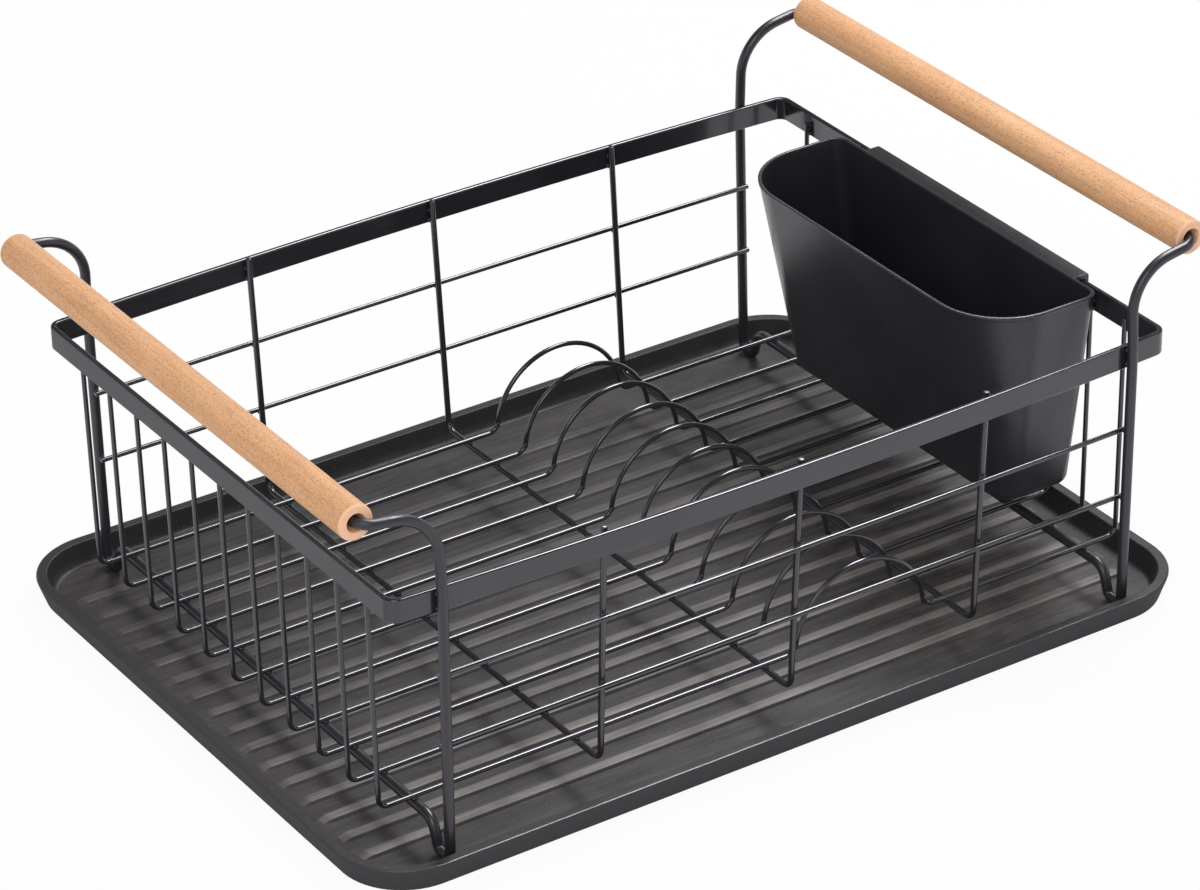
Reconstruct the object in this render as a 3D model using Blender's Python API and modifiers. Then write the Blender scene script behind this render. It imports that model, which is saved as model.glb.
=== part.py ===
"""A dish drainer: a wire basket with two wooden handles and a cutlery holder, in a ribbed drip tray.

The long direction is X, the depth is Y (the front is at -Y) and Z is up. The tray rests on Z = 0 and is
centred on Y = 0; the basket stands in it a little off centre. The cutlery holder hangs on the right end.
All lengths are in metres.
"""

import math

import bmesh
import bpy
from mathutils import Vector

# Gap left between pieces that rest on each other or are welded together
seat_gap = 0.0003

# Drip tray; the basket is sized from it
tray_length = 0.4764
tray_depth = 0.3551
tray_height = 0.0133
tray_corner_radius = 0.038
tray_wall = 0.0020
tray_lip_width = 0.0055
tray_lip_rounding = 0.0007
tray_outer_slope = 0.0042
tray_inner_slope = 0.0030
tray_floor_rounding = 0.0012
rib_count = 16
rib_margin_at_sides = 0.04105
rib_margin_at_ends = 0.0070
rib_height = 0.0013
rib_base_width = 0.0085
rib_top_width = 0.0055
rib_end_slope = 0.0050
rib_depth_in_floor = 0.0008

# Where the basket stands in the tray
basket_shift_x = 0.0036
basket_shift_y = -0.0019

# Wire sizes
thin_wire = 0.0025
cross_wire = 0.0032
frame_wire = 0.0052

# Rim band
rim_inset_x = 0.0182
rim_inset_y = 0.01695
rim_bow = 0.0060
rim_top = 0.1495
rim_height = 0.0124
rim_thickness = 0.0028
rim_corner_radius = 0.0070
rim_edge_rounding = 0.0005

# Floor wires, which run along X, rise at both ends and hold the plates with one arch each
floor_wire_count = 11
floor_wire_margin = 0.0202
floor_wire_height = 0.0237
floor_wire_inset = 0.0057
floor_wire_bend = 0.0050
floor_wire_tip_below_rim = 0.0047
arch_radius = 0.0380
arch_foot_bend = 0.0060
arch_shift = 0.0010

# Cross wires, which run along Y under the floor wires and rise at the front and the back
cross_wire_names = ("left", "middle", "right")
cross_wire_spacing = 0.1083
cross_wire_shift = 0.0023
cross_wire_inset = 0.0074
cross_wire_bend = 0.0062
cross_wire_tip_above_rim = 0.0010

# Side wires, at shares of the height of the rim's lower edge
lower_side_wire_share = 0.472
upper_side_wire_share = 0.746
side_wire_overhang = 0.0014

# End frames, each one closed loop of thick wire: handle rod, two posts, two feet and a bar under the floor
post_inset = 0.0250
post_lean_share = 0.0150
rod_overhang = 0.0136
rod_above_rim = 0.0448
rod_pull_in = 0.0021
rod_bend = 0.0080
shoulder_bend = 0.0258
shoulder_drop = 0.0060
foot_width = 0.0098
foot_outer_bend = 0.0043
foot_inner_bend = 0.0036
leg_slant = 0.0050
bar_bend = 0.0085

# Wooden handles
handle_diameter = 0.0177
handle_end_gap = 0.0040
handle_edge = 0.0009
handle_bore_clearance = 0.0004
handle_mouth_radius = 0.0048
handle_mouth_depth = 0.0055

# Cutlery holder
holder_shift_y = -0.0094
holder_top_above_rim = 0.0035
holder_top_width = 0.0705
holder_top_half_length = 0.1086
holder_bottom_above_floor = 0.0144
holder_bottom_width = 0.0438
holder_bottom_half_length = 0.0914
holder_back_gap = 0.0005
holder_wall = 0.0018
holder_top_front_corner = 0.0380
holder_bottom_front_corner = 0.0100
holder_back_corner = 0.0080
holder_bottom_rounding = 0.0060
holder_bead = 0.0004
holder_bead_height = 0.0022
hook_half_length = 0.0870
hook_thickness = 0.0019
hook_drop = 0.0110
hook_below_lip = 0.0008
hook_root_share = 0.6
hook_edge_rounding = 0.0006

# Fineness of the bends and of the round sections
bend_steps = 5
shoulder_steps = 9
arch_steps = 16
corner_steps = 8
rounding_steps = 3
rim_side_steps = 12
side_wire_steps = 10
turned_steps = 32
thin_section_steps = 2
thick_section_steps = 4
sharp_angle = math.radians(35)
bevel_angle = math.radians(60)
parallel_angle = math.radians(0.01)
weld_distance = 0.00001

# Sizes that follow from the ones above
thin_radius = thin_wire / 2
cross_radius = cross_wire / 2
frame_radius = frame_wire / 2
tray_floor = tray_wall
rib_pitch = (tray_depth - 2 * rib_margin_at_sides) / (rib_count - 1)
rim_length = tray_length - 2 * rim_inset_x
rim_depth_at_corners = tray_depth - 2 * rim_inset_y
rim_bottom = rim_top - rim_height
upright_x = rim_length / 2 - rim_thickness - seat_gap - thin_radius
floor_wire_end = rim_length / 2 - floor_wire_inset
cross_wire_end = rim_depth_at_corners / 2 - cross_wire_inset
cross_wire_height = floor_wire_height - thin_radius - seat_gap - cross_radius
floor_wire_pitch = 2 * (cross_wire_end - floor_wire_margin) / (floor_wire_count - 1)
arch_middle = cross_wire_shift + cross_wire_spacing / 2 + arch_shift
bar_height = floor_wire_height - thin_radius - seat_gap - frame_radius
foot_height = tray_floor + seat_gap + frame_radius
post_x = rim_length / 2 - post_inset
rod_x = rim_length / 2 + rod_overhang
rod_height = rim_top + rod_above_rim
holder_top = rim_top + holder_top_above_rim
holder_bottom = floor_wire_height + holder_bottom_above_floor
holder_back = floor_wire_end - thin_radius - holder_back_gap

steel_colour = (0.018, 0.018, 0.020, 1.0)
plastic_colour = (0.022, 0.022, 0.024, 1.0)
tray_colour = (0.030, 0.029, 0.029, 1.0)
wood_colour = (0.62, 0.36, 0.19, 1.0)


def clear_scene():
    for obj in list(bpy.data.objects):
        bpy.data.objects.remove(obj, do_unlink=True)


def new_collection(name, hidden=False):
    collection = bpy.data.collections.new(name)
    collection.hide_render = hidden
    bpy.context.scene.collection.children.link(collection)
    return collection


def material(name, colour, roughness, coat=0.0):
    made = bpy.data.materials.new(name)
    made.use_nodes = True
    shader = made.node_tree.nodes["Principled BSDF"]
    shader.inputs["Base Color"].default_value = colour
    shader.inputs["Roughness"].default_value = roughness
    shader.inputs["Coat Weight"].default_value = coat
    return made


def place(obj, parent, location=(0, 0, 0)):
    """Puts an object in the model's collection, under its parent."""
    parts.objects.link(obj)
    obj.parent = parent
    obj.location = location
    return obj


def empty(name, parent=None, location=(0, 0, 0)):
    return place(bpy.data.objects.new(name, None), parent, location)


def mesh_object(name, points, faces, finish):
    mesh = bpy.data.meshes.new(name)
    mesh.from_pydata(points, [], faces)
    shape = bmesh.new()
    shape.from_mesh(mesh)
    bmesh.ops.recalc_face_normals(shape, faces=shape.faces)
    shape.to_mesh(mesh)
    shape.free()
    mesh.shade_smooth()
    mesh.set_sharp_from_angle(angle=sharp_angle)
    mesh.materials.append(finish)
    return bpy.data.objects.new(name, mesh)


def add(a, b, share=1.0):
    return tuple(p + q * share for p, q in zip(a, b))


def direction(a, b):
    length = math.dist(a, b)
    return tuple((q - p) / length for p, q in zip(a, b))


def rounded(corners, closed=False):
    """Points of a path through corners (point, radius, steps), each rounded by an arc of that radius."""
    path = []
    count = len(corners)
    for index, (point, radius, steps) in enumerate(corners):
        if not radius or (not closed and index in (0, count - 1)):
            path.append(tuple(point))
            continue
        into = direction(corners[index - 1][0], point)
        out = direction(point, corners[(index + 1) % count][0])
        turn = math.acos(max(-1.0, min(1.0, sum(p * q for p, q in zip(into, out)))))
        if turn < parallel_angle:
            path.append(tuple(point))
            continue
        start = add(point, into, -radius * math.tan(turn / 2))
        across = tuple((q - p * math.cos(turn)) / math.sin(turn) for p, q in zip(into, out))
        for step in range(steps + 1):
            angle = turn * step / steps
            along = add(start, into, radius * math.sin(angle))
            path.append(add(along, across, radius * (1 - math.cos(angle))))
    return path


def wire(name, path, radius, section, finish, closed=False):
    """A round wire that follows the points of the path."""
    curve = bpy.data.curves.new(name, "CURVE")
    curve.dimensions = "3D"
    curve.bevel_depth = radius
    curve.bevel_resolution = section
    curve.use_fill_caps = not closed
    spline = curve.splines.new("POLY")
    spline.points.add(len(path) - 1)
    for target, point in zip(spline.points, path):
        target.co = (*point, 1.0)
    spline.use_cyclic_u = closed
    spline.use_smooth = True
    curve.materials.append(finish)
    return bpy.data.objects.new(name, curve)


def extruded(name, path, half_height, filled):
    """The mesh of a flat closed outline extruded both ways along Z, its two ends closed if it is filled."""
    curve = bpy.data.curves.new(name, "CURVE")
    curve.dimensions = "2D"
    curve.fill_mode = "BOTH" if filled else "NONE"
    curve.extrude = half_height
    spline = curve.splines.new("POLY")
    spline.points.add(len(path) - 1)
    for target, point in zip(spline.points, path):
        target.co = (*point, 0.0, 1.0)
    spline.use_cyclic_u = True
    guide = bpy.data.objects.new(name, curve)
    helpers.objects.link(guide)
    graph = bpy.context.evaluated_depsgraph_get()
    mesh = bpy.data.meshes.new_from_object(guide.evaluated_get(graph))
    bpy.data.objects.remove(guide)
    shape = bmesh.new()
    shape.from_mesh(mesh)
    bmesh.ops.remove_doubles(shape, verts=shape.verts, dist=weld_distance)
    bmesh.ops.recalc_face_normals(shape, faces=shape.faces)
    shape.to_mesh(mesh)
    shape.free()
    mesh.name = name
    mesh.materials.clear()
    return mesh


def outline(x_left, x_right, half_y, left_radius, right_radius, steps):
    """A rounded rectangle about Y = 0, counterclockwise seen from above."""
    corners = [
        ((x_right, half_y), right_radius, steps),
        ((x_left, half_y), left_radius, steps),
        ((x_left, -half_y), left_radius, steps),
        ((x_right, -half_y), right_radius, steps),
    ]
    return rounded(corners, closed=True)


def loft(rings):
    """Points and faces of the skin over rings of equal point counts, the last ring closed by one face."""
    size = len(rings[0])
    points = [point for ring in rings for point in ring]
    faces = []
    for level in range(len(rings) - 1):
        for index in range(size):
            after = (index + 1) % size
            low = level * size
            faces.append((low + index, low + after, low + size + after, low + size + index))
    faces.append(tuple(range((len(rings) - 1) * size, len(rings) * size)))
    return points, faces


def shell(obj, thickness):
    """Gives an open skin its wall, on the inner side of the skin."""
    wall = obj.modifiers.new("Wall", "SOLIDIFY")
    wall.thickness = thickness
    wall.offset = -1.0
    wall.use_even_offset = True
    return wall


def face_outwards(obj, index=0):
    """Turns an open skin so that one of its faces, and with it all, looks away from the skin's middle."""
    mesh = obj.data
    mesh.update()
    middle = sum((Vector(corner) for corner in obj.bound_box), Vector()) / len(obj.bound_box)
    if mesh.polygons[index].normal.dot(mesh.polygons[index].center - middle) < 0:
        mesh.flip_normals()


def join(target, cutter, operation):
    cutter.display_type = "WIRE"
    cutter.hide_render = True
    helpers.objects.link(cutter)
    cutter.parent = target
    boolean = target.modifiers.new(cutter.name, "BOOLEAN")
    boolean.operation = operation
    boolean.solver = "EXACT"
    boolean.object = cutter


def rim_half_depth(x):
    """Half the depth of the rim band's outside at x; the long sides bow outwards."""
    return rim_depth_at_corners / 2 + rim_bow * (1 - (2 * x / rim_length) ** 2)


def tray_ring(inset, height):
    flat = outline(
        inset - tray_length / 2,
        tray_length / 2 - inset,
        tray_depth / 2 - inset,
        tray_corner_radius - inset,
        tray_corner_radius - inset,
        corner_steps,
    )
    return [(x, y, height) for x, y in flat]


def build_tray(parent):
    """The outer wall, the lip, the inner wall and the floor are one skin; the ribs join the floor."""
    lip_inner = tray_lip_width
    floor_edge = tray_lip_width + tray_inner_slope
    rings = [
        tray_ring(tray_outer_slope, 0.0),
        tray_ring(0.0, tray_height - tray_lip_rounding),
        tray_ring(tray_lip_rounding, tray_height),
        tray_ring(lip_inner, tray_height),
        tray_ring(lip_inner + tray_lip_rounding, tray_height - tray_lip_rounding),
        tray_ring(floor_edge, tray_floor + tray_floor_rounding),
        tray_ring(floor_edge + tray_floor_rounding, tray_floor),
    ]
    points, faces = loft(rings)
    tray = place(mesh_object("drip_tray", points, faces, tray_plastic), parent, (-basket_shift_x, 0, 0))
    face_outwards(tray)
    shell(tray, tray_wall)
    join(tray, rib_cutter(floor_edge), "UNION")
    return tray


def rib_cutter(floor_edge):
    """All ribs as one mesh: long blocks that start inside the floor and narrow towards their tops."""
    below = rib_depth_in_floor / rib_height
    widening = (rib_base_width - rib_top_width) / 2 * below
    half_length = tray_length / 2 - floor_edge - rib_margin_at_ends
    deep = tray_floor - rib_depth_in_floor
    low = (half_length + rib_end_slope * below, rib_base_width / 2 + widening, deep)
    high = (half_length - rib_end_slope, rib_top_width / 2, tray_floor + rib_height)
    shape = bmesh.new()
    for rib in range(rib_count):
        middle = (rib - (rib_count - 1) / 2) * rib_pitch
        for vertex in bmesh.ops.create_cube(shape, size=1.0)["verts"]:
            half_x, half_y, height = high if vertex.co.z > 0 else low
            x = math.copysign(half_x, vertex.co.x)
            y = math.copysign(half_y, vertex.co.y)
            vertex.co = (x, middle + y, height)
    mesh = bpy.data.meshes.new("rib_cutter")
    shape.to_mesh(mesh)
    shape.free()
    return bpy.data.objects.new("rib_cutter", mesh)


def build_rim(parent):
    """A flat steel strip bent to a loop, its long sides bowed."""
    half = rim_length / 2
    inner = [half * (1 - 2 * step / rim_side_steps) for step in range(1, rim_side_steps)]
    corners = [((half, rim_half_depth(half)), rim_corner_radius, corner_steps)]
    corners += [((x, rim_half_depth(x)), 0, 0) for x in inner]
    corners += [((-half, rim_half_depth(half)), rim_corner_radius, corner_steps)]
    corners += [((-half, -rim_half_depth(half)), rim_corner_radius, corner_steps)]
    corners += [((-x, -rim_half_depth(x)), 0, 0) for x in inner]
    corners += [((half, -rim_half_depth(half)), rim_corner_radius, corner_steps)]
    mesh = extruded("rim_band", rounded(corners, closed=True), rim_height / 2, filled=False)
    mesh.materials.append(steel)
    mesh.shade_smooth()
    rim = place(bpy.data.objects.new("rim_band", mesh), parent, (0, 0, rim_top - rim_height / 2))
    face_outwards(rim)
    shell(rim, rim_thickness)
    edges = rim.modifiers.new("Edges", "BEVEL")
    edges.width = rim_edge_rounding
    edges.segments = 1
    edges.limit_method = "ANGLE"
    edges.angle_limit = bevel_angle
    return rim


def build_floor_wires(parent):
    """Each wire rises inside both ends of the rim and makes a half circle between two cross wires."""
    tip = rim_top - floor_wire_tip_below_rim
    level = floor_wire_height
    arch_corners = []
    for step in range(arch_steps + 1):
        angle = math.pi * (1 - step / arch_steps)
        height = level + arch_radius * math.sin(angle)
        arch_corners.append((arch_middle + arch_radius * math.cos(angle), height))
    made = []
    for number in range(floor_wire_count):
        y = ((floor_wire_count - 1) / 2 - number) * floor_wire_pitch
        corners = [
            ((-upright_x, y, tip), 0, 0),
            ((-floor_wire_end, y, level), floor_wire_bend, bend_steps),
            ((arch_middle - arch_radius, y, level), arch_foot_bend, bend_steps),
        ]
        corners += [((x, y, z), 0, 0) for x, z in arch_corners[1:-1]]
        corners += [
            ((arch_middle + arch_radius, y, level), arch_foot_bend, bend_steps),
            ((floor_wire_end, y, level), floor_wire_bend, bend_steps),
            ((upright_x, y, tip), 0, 0),
        ]
        name = f"floor_wire_{number + 1:02d}"
        made.append(place(wire(name, rounded(corners), thin_radius, thin_section_steps, steel), parent))
    return made


def cross_wire_places():
    """The place of each cross wire along X."""
    count = len(cross_wire_names)
    first = cross_wire_shift - (count - 1) / 2 * cross_wire_spacing
    return [first + index * cross_wire_spacing for index in range(count)]


def cross_upright_y(x, height):
    """Half the distance between the cross wire's two uprights at a height; they splay outwards."""
    top = rim_half_depth(x) - rim_thickness - seat_gap - cross_radius
    share = (height - cross_wire_height) / (rim_top - cross_wire_height)
    return cross_wire_end + (top - cross_wire_end) * share


def build_cross_wires(parent):
    tip = rim_top + cross_wire_tip_above_rim
    made = []
    for place_name, x in zip(cross_wire_names, cross_wire_places()):
        top = cross_upright_y(x, rim_top)
        corners = [
            ((x, -top, tip), 0, 0),
            ((x, -cross_wire_end, cross_wire_height), cross_wire_bend, bend_steps),
            ((x, cross_wire_end, cross_wire_height), cross_wire_bend, bend_steps),
            ((x, top, tip), 0, 0),
        ]
        name = f"cross_wire_{place_name}"
        made.append(place(wire(name, rounded(corners), cross_radius, thin_section_steps, steel), parent))
    return made


def post_beside_rim():
    """Distance from the basket's middle to the post's axis where it is welded to the rim."""
    return rim_half_depth(post_x) + seat_gap + frame_radius


def post_below_rim(height):
    """The same distance at a height below the rim; the posts lean inwards on their way down."""
    return post_beside_rim() + (height - rim_bottom) * post_lean_share


def build_side_wires(parent):
    """Each side wire lies inside the posts and outside the cross wires' uprights, so it bows a little."""
    half_run = post_x + side_wire_overhang
    made = []
    for side, sign in (("front", -1), ("rear", 1)):
        for level, share in (("lower", lower_side_wire_share), ("upper", upper_side_wire_share)):
            height = rim_bottom * share
            at_post = post_below_rim(height) - frame_radius - seat_gap - thin_radius
            bow = 0.0
            for x in cross_wire_places():
                beside = cross_upright_y(x, height) + cross_radius + seat_gap + thin_radius
                bow = max(bow, (beside - at_post) / (1 - (x / post_x) ** 2))
            path = []
            for step in range(side_wire_steps + 1):
                x = half_run * (2 * step / side_wire_steps - 1)
                path.append((x, sign * (at_post + bow * (1 - (x / post_x) ** 2)), height))
            name = f"side_wire_{side}_{level}"
            made.append(place(wire(name, path, thin_radius, thin_section_steps, steel), parent))
    return made


def build_end_frames(parent):
    """Each loop: the rod in the wood, two shoulders, two posts outside the rim, two feet and the bar.

    A shoulder falls by shoulder_drop from the rod to the line of its post.
    """
    beside_rim = post_beside_rim()
    top = beside_rim - rod_pull_in
    low = post_below_rim(foot_height)
    inner_foot = low - foot_width
    bar_end = inner_foot - leg_slant
    made = []
    for name, sign in (("end_frame_left", -1), ("end_frame_right", 1)):
        half = [
            ((sign * rod_x, top, rod_height), rod_bend, bend_steps),
            ((sign * post_x, top, rod_height - shoulder_drop), shoulder_bend, shoulder_steps),
            ((sign * post_x, beside_rim, rim_top), 0, 0),
            ((sign * post_x, beside_rim, rim_bottom), 0, 0),
            ((sign * post_x, low, foot_height), foot_outer_bend, bend_steps),
            ((sign * post_x, inner_foot, foot_height), foot_inner_bend, bend_steps),
            ((sign * post_x, bar_end, bar_height), bar_bend, bend_steps),
        ]
        corners = half + [((x, -y, z), radius, steps) for (x, y, z), radius, steps in reversed(half)]
        path = rounded(corners, closed=True)
        made.append(place(wire(name, path, frame_radius, thick_section_steps, steel, closed=True), parent))
    return made


def build_handles(parent):
    """Turned dowels, each bored for the rod, with a cone at both mouths where the rod starts to bend."""
    radius = handle_diameter / 2
    bore = frame_radius + handle_bore_clearance
    half = post_beside_rim() - rod_pull_in - handle_end_gap
    profile = [
        (handle_mouth_radius, half),
        (radius - handle_edge, half),
        (radius, half - handle_edge),
        (radius, handle_edge - half),
        (radius - handle_edge, -half),
        (handle_mouth_radius, -half),
        (bore, handle_mouth_depth - half),
        (bore, half - handle_mouth_depth),
    ]
    made = []
    for name, sign in (("handle_left", -1), ("handle_right", 1)):
        mesh = bpy.data.meshes.new(name)
        edges = [(index - 1, index) for index in range(1, len(profile))]
        edges.append((len(profile) - 1, 0))
        mesh.from_pydata([(x, 0, z) for x, z in profile], edges, [])
        mesh.materials.append(wood)
        handle = place(bpy.data.objects.new(name, mesh), parent, (sign * rod_x, 0, rod_height))
        handle.rotation_euler = (math.radians(-90), 0, 0)
        turned = handle.modifiers.new("Turned", "SCREW")
        turned.axis = "Z"
        turned.steps = turned_steps
        turned.render_steps = turned_steps
        turned.use_merge_vertices = True
        turned.merge_threshold = weld_distance
        turned.use_smooth_shade = True
        made.append(handle)
    return made


def holder_ring(share, inset, height):
    """The holder's outside at a share of its height, from 0 at the bottom to 1 at the top."""
    width = holder_bottom_width + (holder_top_width - holder_bottom_width) * share
    half = holder_bottom_half_length + (holder_top_half_length - holder_bottom_half_length) * share
    corner = holder_bottom_front_corner + (holder_top_front_corner - holder_bottom_front_corner) * share
    flat = outline(
        holder_back - width + inset,
        holder_back - inset,
        half - inset,
        corner - inset,
        holder_back_corner - inset,
        corner_steps,
    )
    return [(x, y, height) for x, y in flat]


def build_holder(parent):
    """A tapered trough with a thin bead along its lip and a hook that hangs over the rim's right end."""
    tall = holder_top - holder_bottom
    rings = [
        holder_ring(1.0, 0.0, holder_top),
        holder_ring(1.0, 0.0, holder_top - holder_bead_height),
    ]
    body_top = holder_top - holder_bead_height - holder_bead
    rings.append(holder_ring((body_top - holder_bottom) / tall, holder_bead, body_top))
    for step in range(rounding_steps + 1):
        angle = math.pi / 2 * step / rounding_steps
        height = holder_bottom + holder_bottom_rounding * (1 - math.sin(angle))
        inset = holder_bead + holder_bottom_rounding * (1 - math.cos(angle))
        rings.append(holder_ring((height - holder_bottom) / tall, inset, height))
    points, faces = loft(rings)
    holder = place(mesh_object("cutlery_holder", points, faces, plastic), parent, (0, holder_shift_y, 0))
    face_outwards(holder)
    shell(holder, holder_wall)
    join(holder, hook(), "UNION")
    return holder


def hook():
    """The hook's section runs from inside the holder's back wall over the rim strip and down outside it."""
    root = holder_back - holder_wall * hook_root_share
    outside = rim_length / 2 + seat_gap + hook_thickness
    top = holder_top - hook_below_lip
    under = rim_top + seat_gap
    end = top - hook_drop
    section = [
        (root, top),
        (root, under),
        (outside - hook_thickness, under),
        (outside - hook_thickness, end),
        (outside, end),
        (outside, top - hook_edge_rounding),
        (outside - hook_edge_rounding, top),
    ]
    mesh = extruded("hook_cutter", section, hook_half_length, filled=True)
    made = bpy.data.objects.new("hook_cutter", mesh)
    made.rotation_euler = (math.radians(90), 0, 0)
    return made


clear_scene()
parts = new_collection("dish_drainer")
helpers = new_collection("cutters", hidden=True)
steel = material("black_coated_steel", steel_colour, 0.42, 0.1)
plastic = material("black_plastic", plastic_colour, 0.45)
tray_plastic = material("tray_plastic", tray_colour, 0.50)
wood = material("beech_wood", wood_colour, 0.55)

build_tray(None)
basket = empty("basket", None, (0, basket_shift_y, 0))
build_rim(basket)
build_floor_wires(basket)
build_cross_wires(basket)
build_side_wires(basket)
build_end_frames(basket)
build_handles(basket)
build_holder(basket)
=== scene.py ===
"""A wire dish drainer with two wooden handles, a cutlery holder and a ribbed drip tray, dressed and lit.

Lengths are in metres. X runs along the drainer towards the cutlery holder, Y from front to back, Z up.
"""

import math

import bpy
import numpy as np
from mathutils import Matrix


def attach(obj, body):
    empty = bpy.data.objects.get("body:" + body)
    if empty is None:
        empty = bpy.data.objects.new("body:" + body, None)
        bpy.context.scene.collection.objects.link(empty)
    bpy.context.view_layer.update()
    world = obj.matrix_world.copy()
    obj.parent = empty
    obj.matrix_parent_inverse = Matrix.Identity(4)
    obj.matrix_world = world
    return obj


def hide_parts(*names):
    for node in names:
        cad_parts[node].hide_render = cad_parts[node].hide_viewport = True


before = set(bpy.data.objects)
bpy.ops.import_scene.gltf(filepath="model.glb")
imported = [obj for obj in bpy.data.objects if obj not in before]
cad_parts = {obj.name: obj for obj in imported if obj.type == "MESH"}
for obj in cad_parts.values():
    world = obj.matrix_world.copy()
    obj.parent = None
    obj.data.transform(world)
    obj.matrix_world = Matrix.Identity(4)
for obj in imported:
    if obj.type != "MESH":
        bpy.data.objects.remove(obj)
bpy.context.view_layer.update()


# The drip tray: one shallow moulding of black plastic, its wall folded over to a flat lip that is hollow
# underneath. Sixteen low ribs run the length of its floor, so water can spread under the feet. The sizes
# from lip_outer to floor_join are measured inwards from the tray's outline.

tray_half_x, tray_half_y = 0.2382, 0.17755
tray_middle_x = -0.0036
tray_corner = 0.0380
tray_top, tray_floor = 0.0133, 0.0020
tray_wall = 0.0020
lip_outer, lip_inner = -0.0003, 0.0055
hollow_outer, hollow_inner = 0.0024, 0.0047
outer_foot, hollow_foot, inner_foot = 0.0042, 0.0072, 0.0085
floor_join = 0.0180
tray_roundings = [0, 0.0004, 0.0008, 0.0006, 0.0004, 0.0006, 0.0008, 0.0009, 0.0022, 0]
rib_count = 16
rib_pitch = 0.0182
rib_height = 0.0013
rib_half_length, rib_half_width = 0.2227, 0.0043
rib_slope, rib_end_slope = 0.0017, 0.0050
rib_edge_depth, rib_root_depth = 0.0002, 0.0006
rib_top_points = 17
corner_points = 15


def rounded_path(corners, radii, closed=False, steps=8):
    """Corners joined by straight lines, each corner replaced by the arc that touches both its lines.

    A point of the arc is: start + along * r * sin(a) + across * r * (1 - cos(a)), with a from 0 to the turn.
    """
    corners = np.asarray(corners, float)
    radii = np.broadcast_to(radii, len(corners))
    into = corners - np.roll(corners, 1, axis=0)
    into /= np.linalg.norm(into, axis=1)[:, None]
    out = np.roll(into, -1, axis=0)
    turns = np.arccos(np.clip((into * out).sum(axis=1), -1, 1))
    if not closed:
        turns[[0, -1]] = 0
    path = []
    for corner, radius, along, away, turn in zip(corners, radii, into, out, turns):
        if not radius or turn < 1e-4:
            path.append(corner[None])
            continue
        start = corner - along * radius * math.tan(turn / 2)
        across = (away - along * math.cos(turn)) / math.sin(turn)
        angle = np.linspace(0, turn, steps + 1)[:, None]
        path.append(start + along * radius * np.sin(angle) + across * radius * (1 - np.cos(angle)))
    return np.concatenate(path)


def skin(rings, wrapped=False):
    """Points and faces of the surface through rings: point j of ring i is joined to its four neighbours.

    The last ring is wrapped on to the first, or else a fan of triangles about its middle closes each of them.
    """
    rows, columns = rings.shape[:2]
    i = np.arange(rows if wrapped else rows - 1)[:, None]
    j = np.arange(columns)[None]
    below, above, after = i * columns, (i + 1) % rows * columns, (j + 1) % columns
    faces = np.stack([below + j, below + after, above + after, above + j], axis=-1).reshape(-1, 4)
    points = rings.reshape(-1, 3)
    if wrapped:
        return points, faces
    first = rows * columns
    edge = np.arange(columns)
    ends = ((edge * 0 + first, (edge + 1) % columns, edge),
            (edge * 0 + first + 1, edge + first - columns, (edge + 1) % columns + first - columns))
    fans = np.concatenate([np.stack([a, b, c, c], axis=1) for a, b, c in ends])
    return np.concatenate([points, [rings[0].mean(0), rings[-1].mean(0)]]), np.concatenate([faces, fans])


def signed_volume(points, faces):
    """The sum over all triangles of a . (b x c) / 6, which is negative when the faces look inwards."""
    a, b, c, d = (points[faces[:, k]] for k in range(4))
    return ((a * np.cross(b, c)).sum() + (a * np.cross(c, d)).sum()) / 6


def point_normals(points, faces):
    """The normal at a point: the sum of half (c - a) x (d - b) over its faces, so large faces stay flat."""
    a, b, c, d = (points[faces[:, k]] for k in range(4))
    facing_area = np.cross(c - a, d - b) / 2
    total = np.zeros_like(points)
    for k in range(4):
        np.add.at(total, faces[:, k], facing_area)
    return total / np.linalg.norm(total, axis=1)[:, None].clip(1e-12)


def put(name, data):
    """A new object with this data, linked to the scene."""
    made = bpy.data.objects.new(name, data)
    bpy.context.scene.collection.objects.link(made)
    return made


def piece(name, skins, body, node=None):
    """One smooth mesh from one or more skins, turned outwards, riding on a body and standing for a node."""
    starts = np.cumsum([0] + [len(points) for points, _ in skins])
    points = np.concatenate([points for points, _ in skins])
    faces = np.concatenate([faces + start for (_, faces), start in zip(skins, starts)])
    corners = np.where(faces[:, 3] == faces[:, 2], 3, 4)
    mesh = bpy.data.meshes.new(name)
    mesh.vertices.add(len(points))
    mesh.vertices.foreach_set("co", points.ravel())
    mesh.loops.add(int(corners.sum()))
    mesh.loops.foreach_set("vertex_index", faces[np.arange(4)[None] < corners[:, None]])
    mesh.polygons.add(len(faces))
    mesh.polygons.foreach_set("loop_start", np.concatenate([[0], np.cumsum(corners)[:-1]]))
    mesh.update(calc_edges=True)
    mesh.validate()
    normals = point_normals(points, faces)
    if signed_volume(points, faces) < 0:
        mesh.flip_normals()
        normals = -normals
    mesh.shade_smooth()
    mesh.normals_split_custom_set_from_vertices(normals)
    made = put(name, mesh)
    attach(made, body)
    if node:
        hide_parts(node)
    return made


def tray_rings(profile):
    """A ring for each (inset, height): corner centre + (corner radius - inset) * (cos a, sin a)."""
    inset, height = profile.T
    quarter = np.linspace(0, math.pi / 2, corner_points)
    angle = np.concatenate([quarter + k * math.pi / 2 for k in range(4)])
    side_x = np.repeat([1, -1, -1, 1], corner_points) * (tray_half_x - tray_corner)
    side_y = np.repeat([1, 1, -1, -1], corner_points) * (tray_half_y - tray_corner)
    radius = tray_corner - inset[:, None]
    x = tray_middle_x + side_x + radius * np.cos(angle)
    return np.stack([x, side_y + radius * np.sin(angle), np.broadcast_to(height[:, None], x.shape)], axis=-1)


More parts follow.
